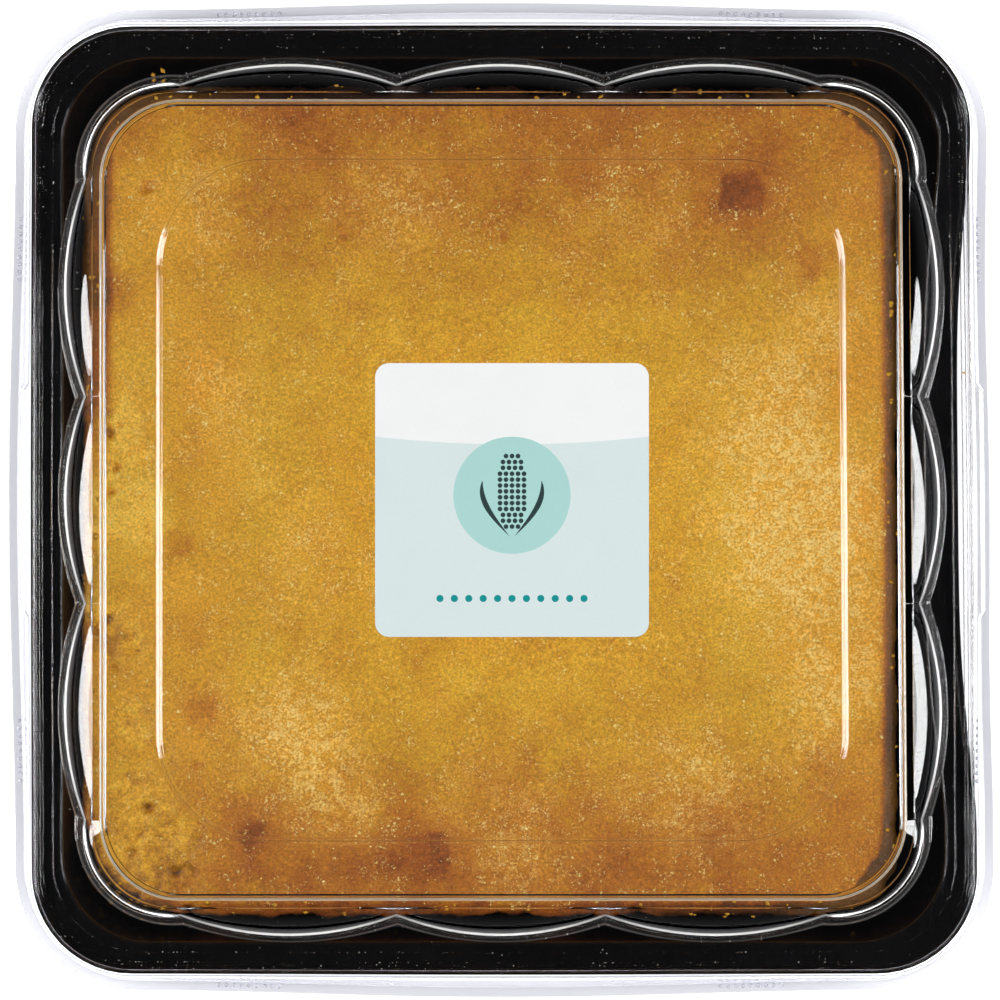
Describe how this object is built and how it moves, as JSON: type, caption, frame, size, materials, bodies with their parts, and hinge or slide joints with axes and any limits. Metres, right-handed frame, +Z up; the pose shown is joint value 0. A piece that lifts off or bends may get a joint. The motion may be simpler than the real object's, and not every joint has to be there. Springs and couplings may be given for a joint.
{
  "type": "cornbread square in lidded tray",
  "caption": "Square of golden cornbread in a glossy black tray, shut under a clear dome lid with scalloped walls and a pale paper label.",
  "frame": {"origin": "on the surface that the pack stands on, under the middle of its outline", "axes": "+Z up through the lid; +Y towards the label's upper edge; +X towards the label's right edge"},
  "size_m": [0.2071, 0.21, 0.056],
  "materials": {
    "black_tray": "glossy black formed sheet",
    "baked_crust": "grainy golden crust, slightly greasy",
    "clear_lid": "clear formed sheet",
    "label_paper": "smooth printed paper"
  },
  "bodies": {
    "root": {"tray": "black_tray", "cornbread": "baked_crust", "lid": "clear_lid", "label": "label_paper"}
  },
  "joints": []
}
